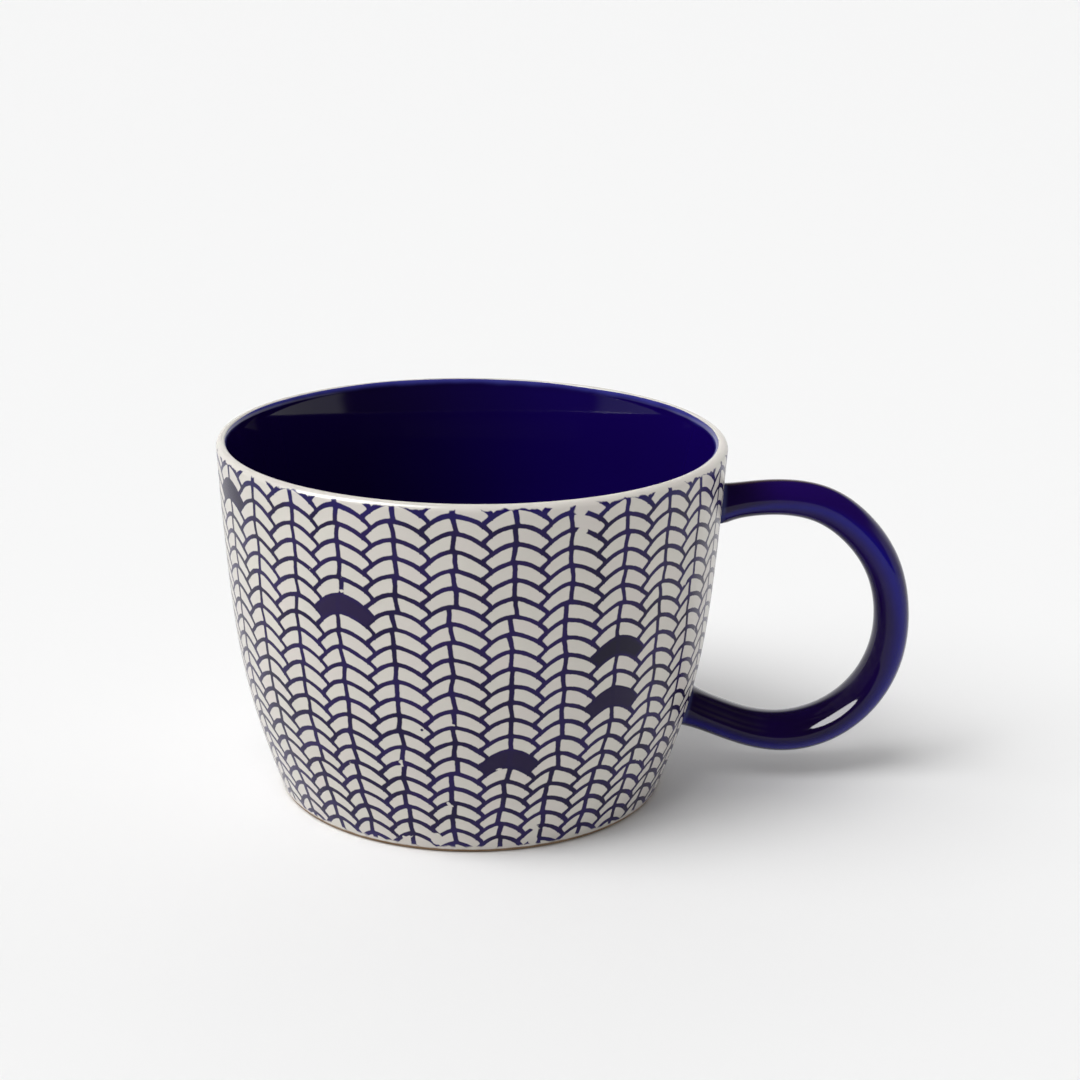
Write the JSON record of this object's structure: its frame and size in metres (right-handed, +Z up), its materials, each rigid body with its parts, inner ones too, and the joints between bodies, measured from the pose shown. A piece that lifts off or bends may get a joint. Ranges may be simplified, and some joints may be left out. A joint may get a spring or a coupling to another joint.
{
  "type": "stoneware mug",
  "caption": "Wide stoneware mug, fuller at the rim than at the foot, with a round loop handle, cobalt inside and a printed knit pattern outside.",
  "frame": {"origin": "bottom centre of the whole mug's bounding box, handle included, on the surface it stands on; the cup's own axis is at X = -20.4 mm", "axes": "+Z up along the cup's axis, +X towards the handle, +Y across, the XZ plane cuts the handle down its middle"},
  "size_m": [0.1458, 0.1052, 0.076],
  "materials": {
    "fired_clay": "bare fired stoneware, matt and slightly gritty",
    "printed_white_glaze": "glossy clear glaze over a cream slip with a printed dark blue knit pattern",
    "cobalt_liner_glaze": "deep glossy cobalt",
    "cobalt_handle_glaze": "deep glossy cobalt, thinner and browner on the edges"
  },
  "bodies": {
    "root": {"cup_body": "fired_clay", "outer_glaze": "printed_white_glaze", "inner_glaze": "cobalt_liner_glaze", "handle": "cobalt_handle_glaze", "handle_root_upper": "cobalt_handle_glaze", "handle_root_lower": "cobalt_handle_glaze"}
  },
  "joints": []
}
